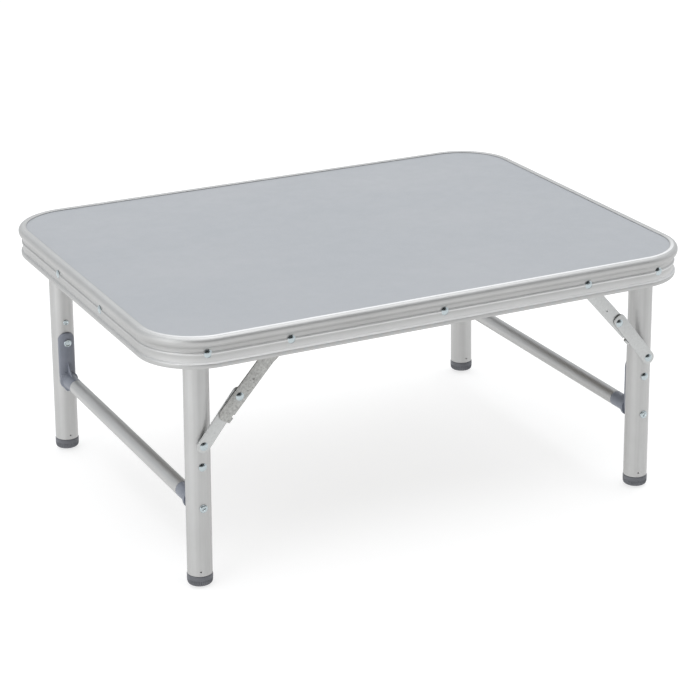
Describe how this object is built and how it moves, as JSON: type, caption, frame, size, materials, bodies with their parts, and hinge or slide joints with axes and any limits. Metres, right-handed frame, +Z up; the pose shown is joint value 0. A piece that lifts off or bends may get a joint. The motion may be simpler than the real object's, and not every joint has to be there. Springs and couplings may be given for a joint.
{
  "type": "folding table",
  "caption": "Low folding table with a rounded panel in a metal rim, two fold-flat tubular leg pairs with crossbars, and jointed locking braces.",
  "frame": {"origin": "on the floor under the middle of the table top, table unfolded", "axes": "+X along the long side, -Y the front long side, +Z up"},
  "size_m": [0.6, 0.45, 0.266],
  "materials": {
    "panel_laminate": "satin light grey laminate on fibreboard",
    "rim_aluminium": "satin extruded",
    "leg_aluminium": "satin drawn tube",
    "brace_steel": "plated, slightly rough",
    "rivet_zinc": "bright zinc",
    "bracket_plastic": "moulded blue-grey",
    "foot_plastic": "moulded dark grey"
  },
  "bodies": {
    "table_top": {"tabletop_panel": "panel_laminate", "rim_frame": "rim_aluminium", "rim_splice": "brace_steel", "splice_rivet_left": "rivet_zinc", "splice_rivet_right": "rivet_zinc", "panel_clip_front": "brace_steel", "clip_rivet_front": "rivet_zinc", "support_rail_left": "rivet_zinc", "support_rail_right": "rivet_zinc", "leg_pivot_rivet_front_left": "rivet_zinc", "brace_pivot_rivet_front_left": "rivet_zinc", "leg_pivot_rivet_front_right": "rivet_zinc", "brace_pivot_rivet_front_right": "rivet_zinc", "leg_pivot_rivet_back_left": "rivet_zinc", "brace_pivot_rivet_back_left": "rivet_zinc", "leg_pivot_rivet_back_right": "rivet_zinc", "brace_pivot_rivet_back_right": "rivet_zinc"},
    "leg_pair_left": {"leg_front_left": "leg_aluminium", "foot_cap_front_left": "foot_plastic", "crossbar_bracket_front_left": "bracket_plastic", "bracket_rivet_front_left": "rivet_zinc", "crossbar_screw_front_left": "rivet_zinc", "brace_foot_stud_front_left": "rivet_zinc", "leg_back_left": "leg_aluminium", "foot_cap_back_left": "foot_plastic", "crossbar_bracket_back_left": "bracket_plastic", "bracket_rivet_back_left": "rivet_zinc", "crossbar_screw_back_left": "rivet_zinc", "brace_foot_stud_back_left": "rivet_zinc", "crossbar_left": "leg_aluminium"},
    "upper_arm_front_left": {"brace_upper_arm_front_left": "brace_steel", "brace_joint_rivet_front_left": "rivet_zinc"},
    "lower_arm_front_left": {"brace_lower_arm_front_left": "brace_steel", "brace_foot_rivet_front_left": "rivet_zinc"},
    "upper_arm_back_left": {"brace_upper_arm_back_left": "brace_steel", "brace_joint_rivet_back_left": "rivet_zinc"},
    "lower_arm_back_left": {"brace_lower_arm_back_left": "brace_steel", "brace_foot_rivet_back_left": "rivet_zinc"},
    "leg_pair_right": {"leg_front_right": "leg_aluminium", "foot_cap_front_right": "foot_plastic", "crossbar_bracket_front_right": "bracket_plastic", "bracket_rivet_front_right": "rivet_zinc", "crossbar_screw_front_right": "rivet_zinc", "brace_foot_stud_front_right": "rivet_zinc", "leg_back_right": "leg_aluminium", "foot_cap_back_right": "foot_plastic", "crossbar_bracket_back_right": "bracket_plastic", "bracket_rivet_back_right": "rivet_zinc", "crossbar_screw_back_right": "rivet_zinc", "brace_foot_stud_back_right": "rivet_zinc", "crossbar_right": "leg_aluminium"},
    "upper_arm_front_right": {"brace_upper_arm_front_right": "brace_steel", "brace_joint_rivet_front_right": "rivet_zinc"},
    "lower_arm_front_right": {"brace_lower_arm_front_right": "brace_steel", "brace_foot_rivet_front_right": "rivet_zinc"},
    "upper_arm_back_right": {"brace_upper_arm_back_right": "brace_steel", "brace_joint_rivet_back_right": "rivet_zinc"},
    "lower_arm_back_right": {"brace_lower_arm_back_right": "brace_steel", "brace_foot_rivet_back_right": "rivet_zinc"}
  },
  "joints": [
    {"name": "fold_left", "type": "hinge", "parent": "table_top", "child": "leg_pair_left", "pos_m": [-0.25, 0, 0.2492], "axis": [0, -1, 0], "range_deg": [0, 90.15]},
    {"name": "brace_pivot_front_left", "type": "hinge", "parent": "table_top", "child": "upper_arm_front_left", "pos_m": [-0.1652, -0.2075, 0.2492], "axis": [0, -1, 0], "range_deg": [0, 131.38]},
    {"name": "brace_joint_front_left", "type": "hinge", "parent": "upper_arm_front_left", "child": "lower_arm_front_left", "pos_m": [-0.21366, -0.2075, 0.19501], "axis": [0, 1, 0], "range_deg": [0, 180.87]},
    {"name": "brace_pivot_back_left", "type": "hinge", "parent": "table_top", "child": "upper_arm_back_left", "pos_m": [-0.1652, 0.2075, 0.2492], "axis": [0, -1, 0], "range_deg": [0, 131.38]},
    {"name": "brace_joint_back_left", "type": "hinge", "parent": "upper_arm_back_left", "child": "lower_arm_back_left", "pos_m": [-0.21366, 0.2075, 0.19501], "axis": [0, 1, 0], "range_deg": [0, 180.87]},
    {"name": "fold_right", "type": "hinge", "parent": "table_top", "child": "leg_pair_right", "pos_m": [0.25, 0, 0.2492], "axis": [0, 1, 0], "range_deg": [0, 90.15]},
    {"name": "brace_pivot_front_right", "type": "hinge", "parent": "table_top", "child": "upper_arm_front_right", "pos_m": [0.1652, -0.2075, 0.2492], "axis": [0, 1, 0], "range_deg": [0, 131.38]},
    {"name": "brace_joint_front_right", "type": "hinge", "parent": "upper_arm_front_right", "child": "lower_arm_front_right", "pos_m": [0.21366, -0.2075, 0.19501], "axis": [0, -1, 0], "range_deg": [0, 180.87]},
    {"name": "brace_pivot_back_right", "type": "hinge", "parent": "table_top", "child": "upper_arm_back_right", "pos_m": [0.1652, 0.2075, 0.2492], "axis": [0, 1, 0], "range_deg": [0, 131.38]},
    {"name": "brace_joint_back_right", "type": "hinge", "parent": "upper_arm_back_right", "child": "lower_arm_back_right", "pos_m": [0.21366, 0.2075, 0.19501], "axis": [0, -1, 0], "range_deg": [0, 180.87]}
  ],
  "couplings": [
    {"joint": "brace_pivot_front_left", "follows": "fold_left", "ratio": 1.4573},
    {"joint": "brace_joint_front_left", "follows": "fold_left", "ratio": 2.0062},
    {"joint": "brace_pivot_back_left", "follows": "fold_left", "ratio": 1.4573},
    {"joint": "brace_joint_back_left", "follows": "fold_left", "ratio": 2.0062},
    {"joint": "brace_pivot_front_right", "follows": "fold_right", "ratio": 1.4573},
    {"joint": "brace_joint_front_right", "follows": "fold_right", "ratio": 2.0062},
    {"joint": "brace_pivot_back_right", "follows": "fold_right", "ratio": 1.4573},
    {"joint": "brace_joint_back_right", "follows": "fold_right", "ratio": 2.0062}
  ]
}
